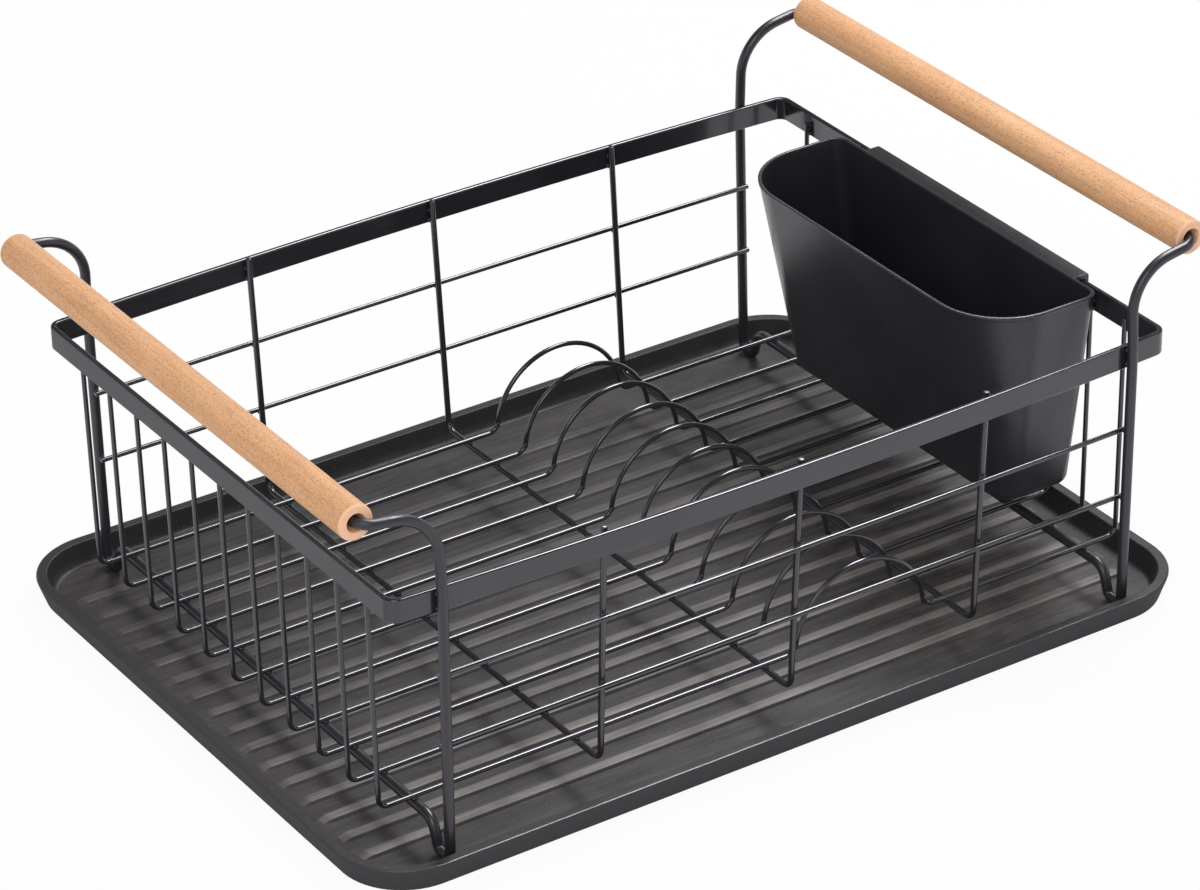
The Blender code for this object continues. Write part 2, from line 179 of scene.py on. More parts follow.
lip_under = tray_top - tray_wall
tray_profile = rounded_path(
    [(floor_join, 0), (hollow_foot, 0), (hollow_inner, lip_under), (hollow_outer, lip_under),
     (outer_foot + tray_wall, 0), (outer_foot, 0), (lip_outer, tray_top), (lip_inner, tray_top),
     (inner_foot, tray_floor), (floor_join, tray_floor)],
    tray_roundings, steps=6)

rib_end_x = rib_end_slope * np.linspace(0, 1, 7) - rib_half_length
rib_x = np.concatenate([rib_end_x, -rib_end_x[::-1]])
rib_y = rib_half_width * np.concatenate([np.linspace(-1, 1, rib_top_points), np.linspace(0.95, -0.95, 5)])


def ramp(distance, length):
    """0 at no distance, 1 from the length on, and 3 s^2 - 2 s^3 of their ratio s between."""
    share = np.clip(distance / length, 0, 1)
    return share * share * (3 - 2 * share)


def rib(y):
    """A long low bar whose height is the product of two ramps, one from its ends and one from its sides."""
    from_ends = ramp(rib_half_length - abs(rib_x), rib_end_slope)[:, None]
    from_sides = ramp(rib_half_width - abs(rib_y), rib_slope)
    top = (rib_height + rib_edge_depth) * from_ends * from_sides - rib_edge_depth
    z = tray_floor + np.where(np.arange(len(rib_y)) < rib_top_points, top, -rib_root_depth)
    x = np.broadcast_to(tray_middle_x + rib_x[:, None], z.shape)
    return skin(np.stack([x, np.broadcast_to(y + rib_y, z.shape), z], axis=-1))


rib_places = (np.arange(rib_count) - (rib_count - 1) / 2) * rib_pitch
tray = piece("tray_moulding", [skin(tray_rings(tray_profile))] + [rib(y) for y in rib_places],
             "tray", "drip_tray")


class Value:
    """An output socket of a node; arithmetic on it adds the Math node that does the same."""

    def __init__(self, nodes, socket):
        self.nodes, self.socket = nodes, socket

    def maths(self, operation, *inputs):
        return self.nodes.node("Math", {"operation": operation}, dict(enumerate(inputs)))

    def __add__(self, other):
        return self.maths("ADD", self, other)

    def __sub__(self, other):
        return self.maths("SUBTRACT", self, other)

    def __rsub__(self, other):
        return self.maths("SUBTRACT", other, self)

    def __mul__(self, other):
        return self.maths("MULTIPLY", self, other)

    def __pow__(self, other):
        return self.maths("POWER", self, other)

    def __abs__(self):
        return self.maths("ABSOLUTE", self)

    def fraction(self):
        return self.maths("FRACT", self)

    def at_least(self, other):
        return self.maths("MAXIMUM", self, other)

    __radd__, __rmul__ = __add__, __mul__


class Nodes:
    """The nodes of a material or of the world."""

    def __init__(self, owner):
        owner.use_nodes = True
        self.tree = owner.node_tree

    def node(self, kind, settings=(), inputs=(), output=0):
        """A node of this kind: its settings come first, then the values or links of its sockets."""
        made = self.tree.nodes.new("ShaderNode" + kind)
        for name, value in dict(settings).items():
            setattr(made, name, value)
        for socket, value in dict(inputs).items():
            if isinstance(value, Value):
                self.tree.links.new(value.socket, made.inputs[socket])
            else:
                made.inputs[socket].default_value = value
        return Value(self, made.outputs[output])

    def band(self, value, low, high):
        """0 up to low and 1 from high on, smooth between; low may be the larger of the two."""
        return self.node("MapRange", {"interpolation_type": "SMOOTHSTEP"}, {0: value, 1: low, 2: high})

    def rays(self, *kinds):
        """1 for a ray of one of these kinds, 0 for any other."""
        return sum(self.node("LightPath", output=f"Is {kind} Ray") for kind in kinds)


class Finish(Nodes):
    """The finish of one surface: its material, and methods that add nodes and set the shader's sockets."""

    def __init__(self, name, constants):
        self.material = bpy.data.materials.new(name)
        super().__init__(self.material)
        self.shader = self.tree.nodes["Principled BSDF"]
        for socket, value in constants.items():
            self.shader.inputs[socket].default_value = value
        self.place = self.node("TexCoord", output="Object")

    def axes(self):
        """The place along X, Y and Z."""
        split = self.node("SeparateXYZ", {}, {0: self.place}).socket.node.outputs
        return [Value(self, socket) for socket in split]

    def stretched(self, scale, shift=(0, 0, 0)):
        """The place multiplied by the scale along each axis, then moved by the shift."""
        return self.node("Mapping", {"vector_type": "POINT"},
                         {"Vector": self.place, "Scale": scale, "Location": shift})

    def noise(self, scale, detail=2.0, roughness=0.5, place=None):
        return self.node("TexNoise", {}, {"Vector": place or self.place, "Scale": scale, "Detail": detail,
                                         "Roughness": roughness})

    def mix(self, share, first, second):
        """The first colour where the share is 0, the second where it is 1."""
        return self.node("Mix", {"data_type": "RGBA"}, {0: share, 6: first, 7: second}, output=2)

    def feed(self, **values):
        """Links each value to the shader's socket of that name."""
        for socket, value in values.items():
            self.tree.links.new(value.socket, self.shader.inputs[socket.replace("_", " ").title()])

    def bump(self, height, depth):
        """The height, from 0 to 1, raised by depth in metres."""
        self.feed(normal=self.node("Bump", {}, {"Strength": 1.0, "Distance": depth, "Height": height}))

    def on(self, *objects):
        for obj in objects:
            obj.data.materials.clear()
            obj.data.materials.append(self.material)


wall_black = (0.0440, 0.0425, 0.0470, 1)
# The second grey is the pale grey of the floor's random tone and of its painted sheen.
moulded_black, tone_and_sheen_grey = (0.0240, 0.0218, 0.0213, 1), (0.156, 0.142, 0.138, 1)
# The grey of the painted highlight on the rib crests.
crest_highlight_grey = (0.240, 0.220, 0.207, 1)
dust_brown = (0.20, 0.15, 0.12, 1)

tray_black = Finish("tray_black", {
    "Specular IOR Level": 0.30, "Specular Tint": (0.97, 0.95, 1.0, 1), "Coat IOR": 1.5,
    "Coat Roughness": 0.12})
along, across, height = tray_black.axes()
flow = tray_black.noise(1.0, 5.0, 0.7, tray_black.stretched((20, 260, 60)))
blotch = tray_black.noise(30.0, 3.0, 0.6)
specks = tray_black.noise(900.0, 1.0, 0.4)
grain = tray_black.noise(2600.0, 1.0)

# The texture covers the flat of the lip and all within it. The lip's edge and the outer wall are smooth.
past_x, past_y = ((abs(place) - (half - tray_corner)).at_least(0.0)
                  for place, half in ((along - tray_middle_x, tray_half_x), (across, tray_half_y)))
inset = tray_corner - (past_x * past_x + past_y * past_y) ** 0.5
on_floor = tray_black.band(inset, lip_inner - 0.0009, lip_inner - 0.0001)
at_top = tray_black.band(height, tray_top - 0.0005, tray_top - 0.0002)
past_edge = tray_black.band(inset, 0.00104, 0.00130)
on_edge = at_top * (1.0 - past_edge)
textured = on_floor.at_least(at_top * past_edge)

# The crests of the ribs, and a little the floor behind each, carry a painted highlight in pale streaks, most
# at the front.
towards_front = tray_black.band(across - 0.25 * along, 0.110, -0.140)
ribs_end_x, ribs_end_y = rib_half_length - 0.0017, rib_places[-1] + rib_half_width + 0.0017
ribbed = (tray_black.band(abs(across), ribs_end_y + 0.0015, ribs_end_y)
          * tray_black.band(abs(along - tray_middle_x), ribs_end_x + 0.0020, ribs_end_x))
over_pitch = (across * (1 / rib_pitch)).fraction()
crest = tray_black.band(over_pitch, 0.335, 0.365) * (
    0.35 * tray_black.band(over_pitch, 0.90, 0.42) + 0.65 * tray_black.band(over_pitch, 0.68, 0.63))
tray_tone = tray_black.band(flow * 0.6 + blotch * 0.4, 0.36, 0.64)
# Painted highlight: pale colour on the rib crests where the light catches them, strongest at the front.
painted_crest_highlight = on_floor * ribbed * crest * (0.45 + 0.55 * tray_tone) * (0.25 + 0.75 * towards_front)

# The floor carries painted light: a painted sheen makes it paler at the back, and painted light lifts the
# holder's shadow in its front right part. The walls and the strip by the right wall are dark, and pale specks
# of dust lie on all of it.
up_wall = tray_black.band(height, 0.0040, 0.0070)
right_end = tray_black.band(along, 0.060, 0.130) * tray_black.band(across, 0.030, -0.030)
by_right_wall = tray_black.band(along, 0.196, 0.224)
# Painted sheen at the back and painted light in the holder's shadow at the front right, laid over the floor's
# random tone.
tone_and_painted_sheen = (0.02 + 0.24 * tray_tone) * (1.0 - 0.45 * towards_front) + (0.10 + 0.40 * tray_tone) * right_end
tone_and_painted_sheen = tone_and_painted_sheen * (1.0 - 0.9 * up_wall) * (1.0 - by_right_wall)
# The floor's colour with its painted sheen and painted crest highlight; the dust specks go on top of it.
floor_with_painted_light = tray_black.mix(painted_crest_highlight, tray_black.mix(tone_and_painted_sheen, moulded_black, tone_and_sheen_grey), crest_highlight_grey)
dust_and_painted_light = tray_black.mix(tray_black.band(specks, 0.69, 0.74) * 0.35, floor_with_painted_light, dust_brown)
tray_black.feed(
    base_color=tray_black.mix(textured, wall_black, dust_and_painted_light),
    roughness=0.85 - on_edge * 0.60 - textured * (0.25 + 0.12 * tray_tone + 0.10 * painted_crest_highlight),
    coat_weight=0.6 * on_edge)
tray_black.bump(textured * (grain * 0.5 + blotch * 0.5), 0.00006)
tray_black.on(tray)


# The basket's wires: drawn steel, bent cold, spot welded and coated with black powder. The floor wires
# rise inside both ends of the rim and bend up to one round plate arch each. The cross wires run under
# them and rise inside the front and the back of the rim.

basket_y = -0.0019
seat_gap = 0.0003
thin_radius, cross_radius, frame_radius = 0.00125, 0.0016, 0.0026
rim_half_x, rim_half_y_at_ends = 0.2200, 0.1606
rim_bow = 0.0060
rim_top, rim_bottom = 0.1495, 0.1371
rim_thickness = 0.0028
floor_wire_count = 11
floor_wire_pitch = 0.0266
floor_wire_z, floor_wire_tip = 0.0237, 0.1448
floor_wire_end = 0.2143
floor_wire_top_x = rim_half_x - rim_thickness - seat_gap - thin_radius
floor_wire_bend = 0.0050
arch_x, arch_radius = 0.05745, 0.0380
arch_foot_bend = 0.0060
arch_steps = 40
cross_wire_z, cross_wire_tip = floor_wire_z - thin_radius - seat_gap - cross_radius, 0.1505
cross_wire_x = {"left": -0.1060, "middle": 0.0023, "right": 0.1106}
cross_wire_end = 0.1532
cross_wire_bend = 0.0062
bend_steps = 10


def wire(path, radius, beside, closed=False, sides=14):
    """A round bar along a path: each ring is point + r * (cos a * side + sin a * up), square to the path.

    Side is the part of the vector beside that is square to the path. Cut ends have a small rounded edge.
    """
    if closed:
        along = np.roll(path, -1, axis=0) - np.roll(path, 1, axis=0)
    else:
        along = np.gradient(path, axis=0)
    along /= np.linalg.norm(along, axis=1)[:, None]
    thickness = np.full(len(path), radius)
    if not closed:
        edge = radius * 0.35
        angle = np.array([0, 0.5, 1.1, math.pi / 2])
        back, narrow = edge * (1 - np.sin(angle)), edge * (1 - np.cos(angle))
        head = path[0] + along[0] * back[::-1, None]
        tail = path[-1] - along[-1] * back[:, None]
        path = np.concatenate([head, path[1:-1], tail])
        count = len(angle)
        along = np.concatenate([np.repeat(along[:1], count, 0), along[1:-1], np.repeat(along[-1:], count, 0)])
        thickness = np.concatenate([radius - narrow[::-1], thickness[1:-1], radius - narrow])
    side = beside - along * (along @ np.asarray(beside, float))[:, None]
    side /= np.linalg.norm(side, axis=1)[:, None]
    up = np.cross(along, side)
    turn = np.linspace(0, 2 * math.pi, sides, endpoint=False)[None, :, None]
    ring = np.cos(turn) * side[:, None] + np.sin(turn) * up[:, None]
    return skin(path[:, None] + thickness[:, None, None] * ring, wrapped=closed)


def rim_half_y(x):
    """Half the depth of the rim's outside: a parabola, one bow deeper in the middle than at the ends."""
    return rim_half_y_at_ends + rim_bow * (1 - (x / rim_half_x) ** 2)


def floor_wire(y):
    """Up one end, along the floor, over the plate arch, along, and up the other end.

    A point of the arch is: middle + radius * (cos a, sin a), with a from half a turn down to 0.
    """
    angle = math.pi * (1 - np.arange(1, arch_steps) / arch_steps)
    arch = (arch_x, floor_wire_z) + arch_radius * np.stack([np.cos(angle), np.sin(angle)], axis=1)
    left = [(-floor_wire_top_x, floor_wire_tip), (-floor_wire_end, floor_wire_z),
            (arch_x - arch_radius, floor_wire_z)]
    right = [(arch_x + arch_radius, floor_wire_z), (floor_wire_end, floor_wire_z),
             (floor_wire_top_x, floor_wire_tip)]
    bends = [0, floor_wire_bend, arch_foot_bend]
    path = rounded_path(np.concatenate([left, arch, right]),
                        np.concatenate([bends, np.zeros(len(arch)), bends[::-1]]), steps=bend_steps)
    return np.stack([path[:, 0], np.full(len(path), y + basket_y), path[:, 1]], axis=1)


def cross_upright_y(x, z):
    """Half the distance between a cross wire's uprights, which splay out in a straight line to the rim."""
    top = rim_half_y(x) - rim_thickness - seat_gap - cross_radius
    return cross_wire_end + (top - cross_wire_end) * (z - cross_wire_z) / (rim_top - cross_wire_z)


def cross_wire(x):
    """Up inside the front of the rim, across under the floor wires, and up inside the back."""
    top = cross_upright_y(x, rim_top)
    path = rounded_path(
        [(-top, cross_wire_tip), (-cross_wire_end, cross_wire_z), (cross_wire_end, cross_wire_z),
         (top, cross_wire_tip)],
        [0, cross_wire_bend, cross_wire_bend, 0], steps=bend_steps)
    return np.stack([np.full(len(path), x), path[:, 0] + basket_y, path[:, 1]], axis=1)


floor_wire_y = ((floor_wire_count - 1) / 2 - np.arange(floor_wire_count)) * floor_wire_pitch
plate_wires = [
    piece(f"plate_wire_{number + 1:02d}", [wire(floor_wire(y), thin_radius, (0, 1, 0))], "basket",
          f"floor_wire_{number + 1:02d}")
    for number, y in enumerate(floor_wire_y)]
cross_bars = [
    piece(f"cross_bar_{name}", [wire(cross_wire(x), cross_radius, (1, 0, 0))], "basket",
          f"cross_wire_{name}")
    for name, x in cross_wire_x.items()]

coat_black, coat_grey = (0.0140, 0.0129, 0.0160, 1), (0.0185, 0.0170, 0.0212, 1)
dull_roughness, dull_gloss = 0.43, 0.05


def powder_coat(name, roughness, gloss):
    """Black powder with faint clouds and a fine peel; gloss is the weight of the smooth skin over it.

    The coat is dullest at the drainer's left end, from the outside of the rim outwards.
    """
    coat = Finish(name, {"Specular IOR Level": 0.62, "Specular Tint": (0.94, 0.90, 1.0, 1),
                         "Coat Roughness": 0.06})
    left_end = coat.band(coat.axes()[0], 0.0014 - rim_half_x, 0.0003 - rim_half_x)
    cloud = coat.band(coat.noise(24.0), 0.35, 0.65)
    coat.feed(
        base_color=coat.mix(cloud, coat_black, coat_grey),
        roughness=roughness + 0.05 * cloud + (dull_roughness - roughness) * left_end,
        coat_weight=gloss - (gloss - dull_gloss) * left_end)
    coat.bump(coat.noise(900.0), 0.0000006)
    return coat


wire_coat = powder_coat("black_powder_coat", 0.17, 0.45)
wire_coat.on(*plate_wires, *cross_bars)


# The end frames: one closed loop of thick wire at each end. It is the rod in the wood, bends over two
# shoulders to the posts outside the rim, and forms the feet and the bar that carries the floor wires.
# Their coat is duller than that of the other wires.

post_x = 0.1950
post_y_at_rim = rim_half_y(post_x) + seat_gap + frame_radius
post_lean = 0.0150
rod_x, rod_z = 0.2336, 0.1943
rod_pull_in = 0.0021
shoulder_drop = 0.0060
foot_z = tray_floor + seat_gap + frame_radius
foot_width = 0.0098
leg_slant = 0.0050
bar_z = floor_wire_z - thin_radius - seat_gap - frame_radius
rod_bend, shoulder_bend, rim_bend = 0.0080, 0.0258, 0.0400
outer_foot_bend, inner_foot_bend, bar_bend = 0.0043, 0.0036, 0.0085


def post_y(z):
    """Half the distance between the posts below the rim, where they lean in on their way down."""
    return post_y_at_rim + (z - rim_bottom) * post_lean


def end_loop(sign):
    """The rear half of the loop, from the rod down to the bar, and its mirror image at the front."""
    top, low = post_y_at_rim - rod_pull_in, post_y(foot_z)
    inner = low - foot_width
    half = np.array([
        (sign * rod_x, top, rod_z), (sign * post_x, top, rod_z - shoulder_drop),
        (sign * post_x, post_y_at_rim, rim_top), (sign * post_x, post_y_at_rim, rim_bottom),
        (sign * post_x, low, foot_z), (sign * post_x, inner, foot_z),
        (sign * post_x, inner - leg_slant, bar_z)])
    radii = [rod_bend, shoulder_bend, rim_bend, rim_bend, outer_foot_bend, inner_foot_bend, bar_bend]
    corners = np.concatenate([half, half[::-1] * (1, -1, 1)])
    return rounded_path(corners, radii + radii[::-1], closed=True, steps=14) + (0, basket_y, 0)


end_loops = [
    piece(f"end_loop_{name}", [wire(end_loop(sign), frame_radius, (-sign, 0, 1), closed=True, sides=20)],
          "basket", f"end_frame_{name}")
    for name, sign in (("left", -1), ("right", 1))]
powder_coat("handled_powder_coat", 0.36, 0.10).on(*end_loops)


# The side wires: two thin wires at the front and two at the back, with the same coat as the floor wires.
# Each lies inside the posts and outside the cross wires, to which it is spot welded, so it bows outwards.

side_wire_z = {"lower": 0.472 * rim_bottom, "upper": 0.746 * rim_bottom}
side_wire_overhang = 0.0014
side_wire_points = 61


def side_wire(sign, z):
    """A long wire at height z, on the line y = at post + bow * (1 - (x / post)^2)."""
    at_post = post_y(z) - frame_radius - seat_gap - thin_radius
    places = np.array(list(cross_wire_x.values()))
    beside = np.array([cross_upright_y(x, z) for x in places]) + cross_radius + seat_gap + thin_radius
    bow = max(0, ((beside - at_post) / (1 - (places / post_x) ** 2)).max())
    x = np.linspace(-1, 1, side_wire_points) * (post_x + side_wire_overhang)
    y = sign * (at_post + bow * (1 - (x / post_x) ** 2)) + basket_y
    return np.stack([x, y, np.full(len(x), z)], axis=1)


side_rails = [
    piece(f"side_rail_{side}_{level}", [wire(side_wire(sign, z), thin_radius, (0, 0, 1))], "basket",
          f"side_wire_{side}_{level}")
    for side, sign in (("front", -1), ("rear", 1)) for level, z in side_wire_z.items()]
wire_coat.on(*side_rails)


# The rim: a flat steel strip on edge, bent to a loop whose long sides bow outwards a little. Its ends
# are butt welded and ground flush. The wires' ends are welded to its inside, the posts to its outside.

rim_corner, rim_edge = 0.0070, 0.0009
rim_side_points = 41


def rim_rings():
    """A rectangle with rounded edges carried round the rim: path + outward normal * offset, at its height."""
    x = np.linspace(1, -1, rim_side_points)[1:-1] * rim_half_x
    rear = np.stack([x, rim_half_y(x)], axis=1)
    end = np.array([[rim_half_x, rim_half_y_at_ends]])
    corners = np.concatenate([end, rear, end * (-1, 1), -end, -rear, end * (1, -1)])
    radii = np.zeros(len(corners))
    radii[[0, len(rear) + 1, len(rear) + 2, -1]] = rim_corner
    path = rounded_path(corners, radii, closed=True, steps=bend_steps)
    along = np.roll(path, -1, axis=0) - np.roll(path, 1, axis=0)
    outward = np.stack([along[:, 1], -along[:, 0]], axis=1) / np.linalg.norm(along, axis=1)[:, None]
    section = rounded_path(
        [(0, rim_bottom), (0, rim_top), (-rim_thickness, rim_top), (-rim_thickness, rim_bottom)],
        rim_edge, closed=True, steps=4)
    flat = path[:, None] + outward[:, None] * section[None, :, :1]
    height = np.broadcast_to(section[:, 1], flat.shape[:2])
    return np.concatenate([flat + (0, basket_y), height[:, :, None]], axis=-1)


rim = piece("rim_strip", [skin(rim_rings(), wrapped=True)], "basket", "rim_band")
wire_coat.on(rim)


# The welds: small flattened beads of steel, squeezed out by spot welding where two wires cross and where
# a wire meets the rim or a post. They have the same coat as the wires. Each size in weld_sizes is half of
# a bead's extent along X, Y and Z.

weld_on_cross_bar_z, weld_on_bar_z = 0.02235, 0.02230
plate_wire_weld_z = (0.1385, 0.1432)
cross_bar_weld_z = (0.1385, 0.1440)
post_weld_z = (0.1395, 0.1470)
weld_offset = 0.0002
arch_foot_room = 0.012
weld_tilt = 1.35
weld_sizes = {
    "plate wire on cross bar": (0.0015, 0.0016, 0.0010), "plate wire on bar": (0.0017, 0.0014, 0.0009),
    "plate wire at rim": (0.0008, 0.0015, 0.0012), "cross bar at rim": (0.0018, 0.0007, 0.0014),
    "post at rim": (0.0022, 0.0007, 0.0016), "side rail at post": (0.0017, 0.0010, 0.0019),
    "side rail at cross bar": (0.0017, 0.0009, 0.0018)}


def beads(kind, places):
    """Unit ball (cos a cos b, sin a cos b, sin b), stretched to this kind's size and moved to each place."""
    tilt = np.linspace(-weld_tilt, weld_tilt, 6)[:, None]
    tilt, turn = np.broadcast_arrays(tilt, np.linspace(0, 2 * math.pi, 10, endpoint=False))
    ball = np.stack([np.cos(turn) * np.cos(tilt), np.sin(turn) * np.cos(tilt), np.sin(tilt)], axis=-1)
    return [skin((x, y + basket_y, z) + weld_sizes[kind] * ball) for x, y, z in places]


inside_rim_end = rim_half_x - rim_thickness - seat_gap / 2
cross_x = list(cross_wire_x.values())
weld_skins = beads("plate wire on cross bar", [
    (x, y, weld_on_cross_bar_z) for x in cross_x for y in floor_wire_y
    if abs(abs(x - arch_x) - arch_radius) > arch_foot_room])
for sign in (-1, 1):
    weld_skins += beads("plate wire on bar", [(sign * post_x, y, weld_on_bar_z) for y in floor_wire_y])
    weld_skins += beads("plate wire at rim", [
        (sign * inside_rim_end, y, z) for y in floor_wire_y for z in plate_wire_weld_z])
    weld_skins += beads("cross bar at rim", [
        (x, sign * (rim_half_y(x) - rim_thickness - weld_offset), z)
        for x in cross_x for z in cross_bar_weld_z])
    weld_skins += beads("post at rim", [
        (x, sign * (post_y_at_rim - frame_radius), z) for x in (-post_x, post_x) for z in post_weld_z])
    for z in side_wire_z.values():
        weld_skins += beads("side rail at post", [
            (x, sign * (post_y(z) - frame_radius), z) for x in (-post_x, post_x)])
        weld_skins += beads("side rail at cross bar", [
            (x, sign * (cross_upright_y(x, z) + cross_radius), z) for x in cross_x])
welds = piece("weld_beads", weld_skins, "basket")
wire_coat.on(welds)


# The handles: beech dowels turned to a light chamfer at both ends and bored for the rods, on which they
# turn freely. The grain runs along them, with the short dark flecks that beech shows.

dowel_radius = 0.00885
dowel_end_gap = 0.0040
dowel_half_length = post_y_at_rim - rod_pull_in - dowel_end_gap
bore_radius, mouth_radius, mouth_depth = 0.0030, 0.0048, 0.0055
dowel_edge, mouth_edge, bore_edge = 0.0011, 0.0003, 0.0008
dowel_points = 72
dowel_profile = rounded_path(
    [(mouth_radius, dowel_half_length), (dowel_radius, dowel_half_length), (dowel_radius, -dowel_half_length),
     (mouth_radius, -dowel_half_length), (bore_radius, mouth_depth - dowel_half_length),
     (bore_radius, dowel_half_length - mouth_depth)],
    [mouth_edge, dowel_edge, dowel_edge, mouth_edge, bore_edge, bore_edge], closed=True, steps=5)


def dowel(sign):
    """The profile turned about the rod: (radius * cos a, distance along the rod, radius * sin a)."""
    angle = np.linspace(0, 2 * math.pi, dowel_points, endpoint=False)[None]
    radius, along = dowel_profile[:, :1], dowel_profile[:, 1:]
    x, z = radius * np.cos(angle) + sign * rod_x, radius * np.sin(angle) + rod_z
    return np.stack([x, np.broadcast_to(along + basket_y, x.shape), z], axis=-1)


dowels = [
    piece(f"dowel_{name}", [skin(dowel(sign), wrapped=True)], f"{name}_handle", f"handle_{name}")
    for name, sign in (("left", -1), ("right", 1))]

pale_beech, warm_beech = (0.775, 0.436, 0.232, 1), (0.695, 0.371, 0.188, 1)
line_brown, fleck_brown = (0.40, 0.19, 0.095, 1), (0.27, 0.12, 0.06, 1)
sawn_beech = (0.88, 0.53, 0.36, 1)

beech = Finish("varnished_beech", {"Specular IOR Level": 0.22})
fibre = beech.noise(1.0, 4.0, 0.6, beech.stretched((1000, 40, 1000)))
ring = beech.noise(1.0, place=beech.stretched((230, 6, 170)))
fleck = beech.noise(1.0, 1.0, 0.4, beech.stretched((2300, 520, 2300), (3, 7, 1)))
patch = beech.noise(1.0, place=beech.stretched((60, 22, 60), (5, 2, 9)))
from_middle = abs(beech.axes()[1] - basket_y)
end_grain = beech.band(from_middle, dowel_half_length - 0.0014, dowel_half_length - 0.0004)
turned = beech.mix(beech.band(ring * 0.55 + patch * 0.45, 0.38, 0.62), pale_beech, warm_beech)
lined = beech.mix(beech.band(fibre, 0.42, 0.70) * 0.28, turned, line_brown)
flecked = beech.band(fleck, 0.54, 0.66)
beech.feed(
    base_color=beech.mix(end_grain * 0.8, beech.mix(flecked * 0.46, lined, fleck_brown), sawn_beech),
    roughness=0.46 + 0.14 * fibre)
beech.bump(fibre * 0.6 - flecked * 0.4, 0.00004)
beech.on(*dowels)


# The cutlery holder: a moulded trough of black plastic with a bead along its lip. It tapers to its floor,
# and the strip hook on its back hangs over the right end of the rim, so it lifts straight off. A pair of
# sizes holds the one at its floor and the one at its lip.

holder_shift_y = -0.0094
holder_y = basket_y + holder_shift_y
holder_back = 0.21255
holder_bottom, holder_top = 0.0381, 0.1530
holder_width = (0.0438, 0.0705)
holder_half_length = (0.0914, 0.1086)
front_corner = (0.0100, 0.0380)
back_corner = 0.0080
holder_wall, holder_wall_growth, holder_base = 0.0020, 0.0002, 0.0018
holder_flat_below, holder_flat_inside = 0.0090, 0.0095
holder_bead, holder_bead_height = 0.0004, 0.0020
holder_roundings = [0, 0.0060, 0.0003, 0.0003, 0.0008, 0.0007, 0.0042, 0]
hook_root_x = 0.2120
hook_middle = (0.2172, 0.1500)
hook_thickness, hook_drop, hook_below_lip = 0.0019, 0.0110, 0.0008
hook_half_length = 0.0870
hook_roundings = [0.0003, 0.0004, 0.0003, 0.0008, 0.0008, 0.0012]


def holder_rings(profile):
    """For each (inset, height): a rectangle with its own corner radii, its sizes linear in the height."""
    inset, height = profile.T[:, :, None]
    share = (height - holder_bottom) / (holder_top - holder_bottom)
    width, half, front = (
        low + (high - low) * share for low, high in (holder_width, holder_half_length, front_corner))
    quarter = np.linspace(0, math.pi / 2, corner_points)[None]
    corners = ((0, 1, back_corner), (-1, 1, front), (-1, -1, front), (0, -1, back_corner))
    rings = []
    for turn, (x_edge, y_sign, radius) in enumerate(corners):
        angle = quarter + turn * math.pi / 2
        x = holder_back + x_edge * width - (1 + 2 * x_edge) * radius + (radius - inset) * np.cos(angle)
        y = holder_y + y_sign * (half - radius) + (radius - inset) * np.sin(angle)
        rings.append(np.stack([x, y, np.broadcast_to(height, x.shape)], axis=-1))
    return np.concatenate(rings, axis=1)


under_bead = holder_top - holder_bead_height
inner_floor = holder_bottom + holder_base
holder_profile = rounded_path(
    [(holder_flat_below, holder_bottom), (holder_bead, holder_bottom),
     (holder_bead, under_bead - holder_bead), (0, under_bead), (0, holder_top), (holder_wall, holder_top),
     (holder_wall + holder_wall_growth, inner_floor), (holder_flat_inside, inner_floor)],
    holder_roundings, steps=8)

hook_top, hook_under = holder_top - hook_below_lip, rim_top + seat_gap
hook_inside, hook_outside = rim_half_x + seat_gap, rim_half_x + seat_gap + hook_thickness
hook_section = rounded_path(
    [(hook_root_x, hook_top), (hook_root_x, hook_under), (hook_inside, hook_under),
     (hook_inside, hook_top - hook_drop), (hook_outside, hook_top - hook_drop), (hook_outside, hook_top)],
    hook_roundings, closed=True, steps=5)


def hook_rings():
    """The hook's section at stations along Y: middle + (section - middle) * shrink, below 1 near its ends."""
    from_end = np.array([0, 0.0001, 0.0004, 0.0008])
    shrink = np.array([0.93, 0.965, 0.99, 1])
    station = np.concatenate([from_end - hook_half_length, hook_half_length - from_end[::-1]])
    shrink = np.concatenate([shrink, shrink[::-1]])[:, None, None]
    flat = hook_middle + (hook_section - hook_middle)[None] * shrink
    y = np.broadcast_to(station[:, None] + holder_y, flat.shape[:2])
    return np.stack([flat[..., 0], y, flat[..., 1]], axis=-1)


holder = piece("holder_trough", [skin(holder_rings(holder_profile)), skin(hook_rings())],
               "holder", "cutlery_holder")

satin_black, satin_grey = (0.0162, 0.0148, 0.0184, 1), (0.0206, 0.0190, 0.0234, 1)

satin = Finish("satin_black_plastic", {"Specular IOR Level": 0.66, "Specular Tint": (0.94, 0.91, 1.0, 1)})
haze = satin.noise(14.0)
erosion = satin.noise(3200.0, 1.0)
satin.feed(
    base_color=satin.mix(satin.band(haze, 0.35, 0.65), satin_black, satin_grey),
    roughness=0.26 + 0.08 * satin.band(haze * 0.5 + erosion * 0.5, 0.35, 0.65))
satin.bump(erosion, 0.000025)
satin.on(holder)


# The studio: a white floor that fades into a white room, one lamp overhead, a second beside it that
# lights reflections only, and one lamp on each side of the camera.

floor_half = 6.0
floor_drop = 0.0005
paper_white = (0.72, 0.72, 0.72, 1)
wall_white = (0.98, 0.99, 1.0, 1)


def facing(place, target):
    """A matrix that stands at place and looks along its own -Z at target."""
    back = np.subtract(place, target) / np.linalg.norm(np.subtract(place, target))
    right = np.cross((0, 0, 1), back)
    right /= np.linalg.norm(right)
    turned = np.eye(4)
    turned[:3] = np.stack([right, np.cross(back, right), back, place], axis=1)
    return Matrix(turned.tolist())


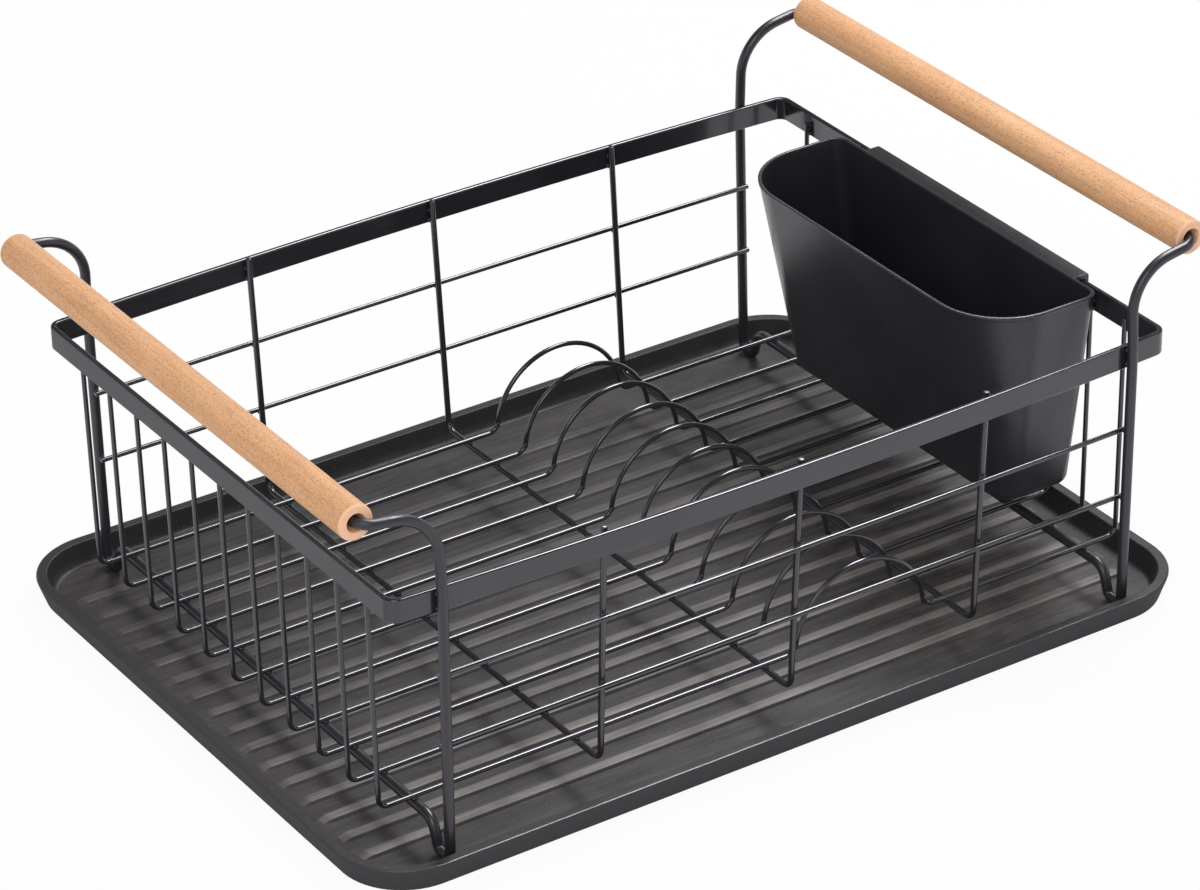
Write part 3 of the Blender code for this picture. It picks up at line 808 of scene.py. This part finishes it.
def lamp(name, place, target, width, height, power):
    """A rectangular lamp of this size and power in watts, turned from its place towards the target."""
    light = bpy.data.lights.new(name, "AREA")
    light.shape = "RECTANGLE"
    light.size, light.size_y, light.energy = width, height, power
    made = put(name, light)
    made.matrix_world = facing(place, target)
    return made


lamp("overhead", (0.76, 0.45, 1.45), (0.66, 0.0, 0.05), 0.64, 1.20, 16)
lamp("glint", (0.78, 0.30, 1.48), (0.68, 0.0, 0.05), 0.60, 1.30, 27).visible_diffuse = False
lamp("front_left", (-1.0, -1.1, 1.3), (0, 0, 0.1), 1.0, 1.0, 12.5)
lamp("front_right", (1.3, -1.3, 0.9), (0, 0, 0.1), 0.8, 0.8, 2)

floor_mesh = bpy.data.meshes.new("floor")
floor_mesh.from_pydata(
    [(-floor_half, -floor_half, 0), (floor_half, -floor_half, 0), (floor_half, floor_half, 0),
     (-floor_half, floor_half, 0)],
    [], [(0, 1, 2, 3)])
floor = put("floor", floor_mesh)
floor.location.z = -floor_drop
paper = Finish("white_paper", {"Base Color": paper_white, "Roughness": 0.9, "Specular IOR Level": 0.1})
glow = paper.node("Emission", {}, {"Color": (1, 1, 1, 1), "Strength": 1.0})
lit = Value(paper, paper.shader.outputs["BSDF"])
seen = paper.rays("Camera", "Glossy", "Transmission")
blend = paper.node("MixShader", {}, {0: seen * 0.94, 1: lit, 2: glow})
paper.tree.links.new(blend.socket, paper.tree.nodes["Material Output"].inputs["Surface"])
paper.on(floor)

world = bpy.data.worlds.new("room")
room = Nodes(world)
upwards = room.node("SeparateXYZ", {}, {0: room.node("TexCoord", output="Generated")}, output="Z")
ceiling = room.rays("Glossy", "Transmission") * 0.9 * room.band(upwards, 0.05, 0.35)
shade = room.rays("Diffuse") * (0.26 + 0.22 * room.band(upwards, 0.45, 0.78))
walls = room.tree.nodes["Background"].inputs
walls["Color"].default_value = wall_white
room.tree.links.new((1.0 - ceiling - shade).socket, walls["Strength"])
bpy.context.scene.world = world
bpy.context.scene.view_settings.view_transform = "Standard"

camera_place, camera_target = (-1.18481, -1.83111, 1.32099), (0.01013, 0.01950, 0.07)
camera_roll = math.radians(-1.22)
camera_lens = bpy.data.cameras.new("camera")
camera_lens.sensor_width, camera_lens.lens = 36.0, 153.084
camera_lens.clip_start, camera_lens.clip_end = 0.05, 30
camera = put("camera", camera_lens)
camera.matrix_world = facing(camera_place, camera_target) @ Matrix.Rotation(camera_roll, 4, "Z")
bpy.context.scene.camera = camera
